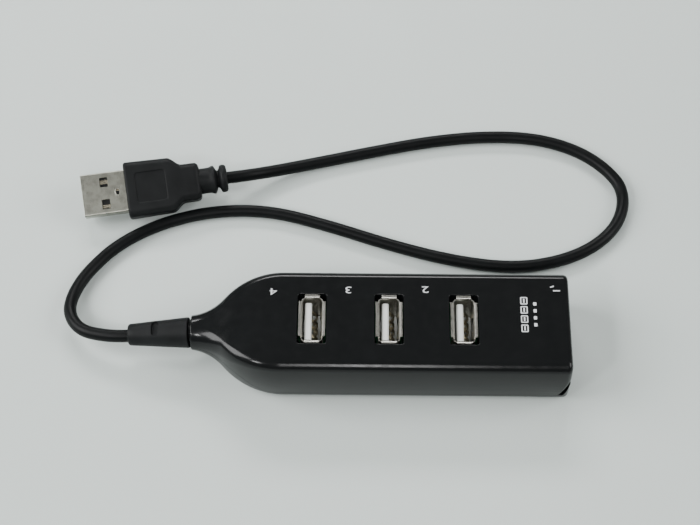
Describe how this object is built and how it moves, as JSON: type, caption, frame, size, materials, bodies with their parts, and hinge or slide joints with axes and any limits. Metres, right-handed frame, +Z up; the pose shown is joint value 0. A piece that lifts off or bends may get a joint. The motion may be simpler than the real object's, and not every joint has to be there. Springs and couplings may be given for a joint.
{
  "type": "usb hub",
  "caption": "Slim bottle-shaped USB hub with upright sockets along its top, a socket in its end face and a short captive cord with a type A plug.",
  "frame": {"origin": "middle of the housing's footprint to within half a millimetre, on the surface it lies on", "axes": "+X from the cord's neck to the end socket along the housing, +Z up out of the top sockets, +Y towards the side on which the cord and plug lie"},
  "size_m": [0.1585, 0.0867, 0.0174],
  "materials": {
    "black_gloss": "moulded ABS, glossy",
    "black_matt": "soft PVC, matt",
    "cord_black": "PVC jacket, satin",
    "nickel": "nickel-plated sheet, satin",
    "insulator_white": "moulded thermoplastic, satin",
    "contact_gold": "flash-plated strip",
    "board_green": "solder-masked laminate",
    "chip_black": "moulded epoxy",
    "steel": "bright steel",
    "can_aluminium": "sleeved can",
    "wire_red": "PVC insulation",
    "wire_white": "PVC insulation",
    "wire_green": "PVC insulation",
    "wire_black": "PVC insulation"
  },
  "bodies": {
    "hub": {"upper_housing": "black_gloss", "lower_housing": "black_gloss", "housing_screws": "steel", "circuit_board": "board_green", "hub_controller": "chip_black", "crystal_can": "steel", "filter_capacitors": "can_aluminium", "chip_resistors": "chip_black", "wire_red": "wire_red", "wire_white": "wire_white", "wire_green": "wire_green", "wire_black": "wire_black", "cord_boot": "black_matt", "hub_cord": "cord_black", "plug_overmould": "black_matt", "plug_shell": "nickel", "plug_insulator": "chip_black", "plug_contacts": "contact_gold", "port_1_shell": "nickel", "port_1_insulator": "insulator_white", "port_1_contact_tails": "contact_gold", "port_2_shell": "nickel", "port_2_insulator": "insulator_white", "port_2_contact_tails": "contact_gold", "port_3_shell": "nickel", "port_3_insulator": "insulator_white", "port_3_contact_tails": "contact_gold", "port_4_shell": "nickel", "port_4_insulator": "insulator_white", "port_4_contact_tails": "contact_gold"},
    "port_1_springs": {"port_1_contact_springs": "contact_gold"},
    "port_2_springs": {"port_2_contact_springs": "contact_gold"},
    "port_3_springs": {"port_3_contact_springs": "contact_gold"},
    "port_4_springs": {"port_4_contact_springs": "contact_gold"}
  },
  "joints": [
    {"name": "port_1_spring_flex", "type": "hinge", "parent": "hub", "child": "port_1_springs", "pos_m": [0.04052, 0, 0.00711], "axis": [0, -1, 0], "range_deg": [0, 3.5], "stiffness_Nm_per_rad": 0.1},
    {"name": "port_2_spring_flex", "type": "hinge", "parent": "hub", "child": "port_2_springs", "pos_m": [0.02275, 0, 0.00772], "axis": [0, -1, 0], "range_deg": [0, 3.5], "stiffness_Nm_per_rad": 0.1},
    {"name": "port_3_spring_flex", "type": "hinge", "parent": "hub", "child": "port_3_springs", "pos_m": [0.00285, 0, 0.00772], "axis": [0, -1, 0], "range_deg": [0, 3.5], "stiffness_Nm_per_rad": 0.1},
    {"name": "port_4_spring_flex", "type": "hinge", "parent": "hub", "child": "port_4_springs", "pos_m": [-0.01765, 0, 0.00772], "axis": [0, -1, 0], "range_deg": [0, 3.5], "stiffness_Nm_per_rad": 0.1}
  ]
}
